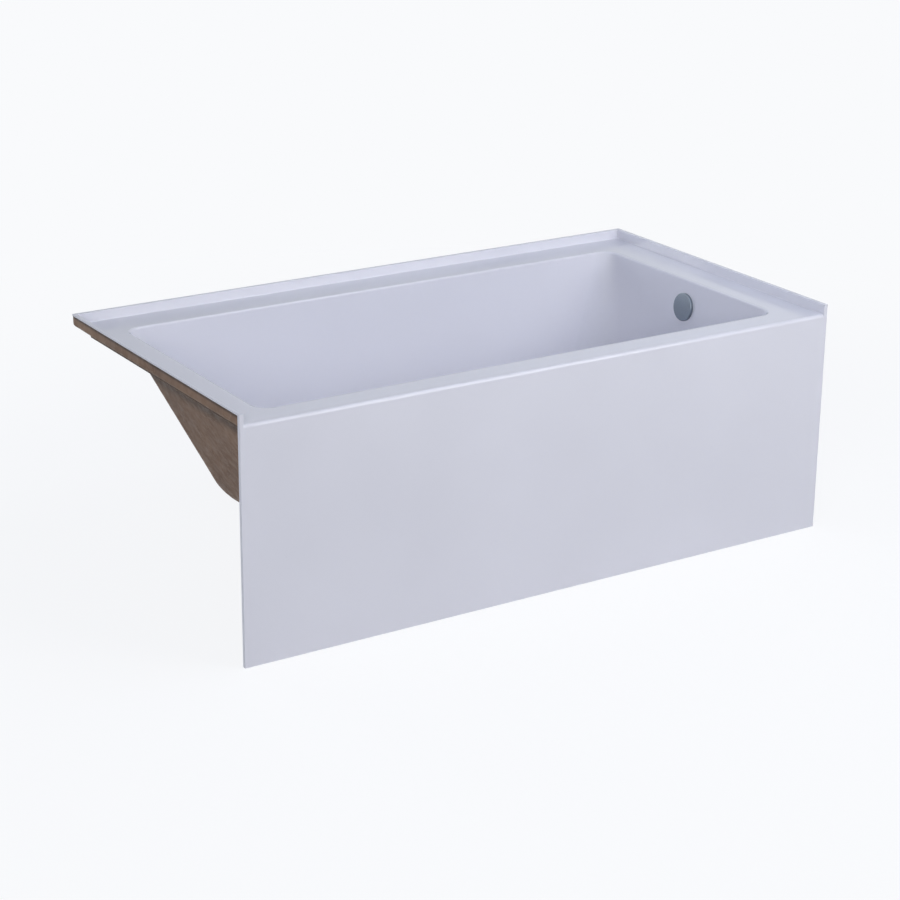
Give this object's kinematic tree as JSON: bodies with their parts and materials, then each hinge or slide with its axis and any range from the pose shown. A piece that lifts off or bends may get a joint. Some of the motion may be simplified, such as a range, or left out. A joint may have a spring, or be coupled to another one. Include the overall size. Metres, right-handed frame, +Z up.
{
  "type": "alcove bathtub",
  "caption": "Acrylic alcove bathtub with an integral apron, tile flange on three sides, sloped backrest, fibreglass and timber base, levelling feet, and a waste and overflow at the right end.",
  "frame": {"origin": "middle of the footprint, on the floor", "axes": "+X along the tub towards the drain end, -Y out of the apron, +Z up"},
  "size_m": [1.524, 0.813, 0.551],
  "materials": {
    "white_acrylic": "vacuum-formed, glossy",
    "fibreglass_laminate": "sprayed chopped-strand laminate, rough",
    "plywood": "sawn, unpainted",
    "softwood": "planed, unpainted",
    "galvanised_steel": "galvanised sheet",
    "zinc_plated_steel": "bright zinc",
    "foot_plastic": "moulded, fine texture",
    "black_rubber": "moulded",
    "brushed_nickel": "satin, brushed",
    "waste_plastic": "moulded black, satin",
    "slip_nut_plastic": "moulded, satin",
    "slip_washer_plastic": "translucent white"
  },
  "bodies": {
    "tub": {"acrylic_shell": "white_acrylic", "fibreglass_backing": "fibreglass_laminate", "base_board": "plywood", "apron_foot_rail": "softwood", "front_rim_batten": "softwood", "back_rim_batten": "softwood", "left_rim_batten": "softwood", "right_rim_batten": "softwood", "left_apron_brace": "plywood", "middle_apron_brace": "plywood", "right_apron_brace": "plywood", "left_leg_bar": "galvanised_steel", "right_leg_bar": "galvanised_steel", "leg_bar_screws": "zinc_plated_steel", "foot_lock_nuts": "zinc_plated_steel", "drain_gasket": "black_rubber", "drain_strainer": "brushed_nickel", "drain_shoe": "waste_plastic", "stopper_post": "zinc_plated_steel", "overflow_cover": "brushed_nickel", "overflow_retaining_ring": "waste_plastic", "overflow_gasket": "black_rubber", "overflow_elbow": "waste_plastic", "overflow_tube": "waste_plastic", "shoe_tube": "waste_plastic", "waste_tee": "waste_plastic", "elbow_slip_nut": "slip_nut_plastic", "elbow_slip_washer": "slip_washer_plastic", "riser_slip_nut": "slip_nut_plastic", "riser_slip_washer": "slip_washer_plastic", "branch_slip_nut": "slip_nut_plastic", "branch_slip_washer": "slip_washer_plastic", "shoe_slip_nut": "slip_nut_plastic", "shoe_slip_washer": "slip_washer_plastic"},
    "front_left_foot": {"front_left_stud": "zinc_plated_steel", "front_left_pad": "foot_plastic"},
    "front_right_foot": {"front_right_stud": "zinc_plated_steel", "front_right_pad": "foot_plastic"},
    "back_left_foot": {"back_left_stud": "zinc_plated_steel", "back_left_pad": "foot_plastic"},
    "back_right_foot": {"back_right_stud": "zinc_plated_steel", "back_right_pad": "foot_plastic"},
    "stopper": {"stopper_cap": "brushed_nickel", "stopper_seal": "black_rubber"}
  },
  "joints": [
    {"name": "front_left_foot_height", "type": "slide", "parent": "tub", "child": "front_left_foot", "axis": [0, 0, 1], "range_m": [-0.014, 0.006]},
    {"name": "front_right_foot_height", "type": "slide", "parent": "tub", "child": "front_right_foot", "axis": [0, 0, 1], "range_m": [-0.014, 0.006]},
    {"name": "back_left_foot_height", "type": "slide", "parent": "tub", "child": "back_left_foot", "axis": [0, 0, 1], "range_m": [-0.014, 0.006]},
    {"name": "back_right_foot_height", "type": "slide", "parent": "tub", "child": "back_right_foot", "axis": [0, 0, 1], "range_m": [-0.014, 0.006]},
    {"name": "stopper_lift", "type": "slide", "parent": "tub", "child": "stopper", "axis": [0, 0, 1], "range_m": [0, 0.008]}
  ]
}
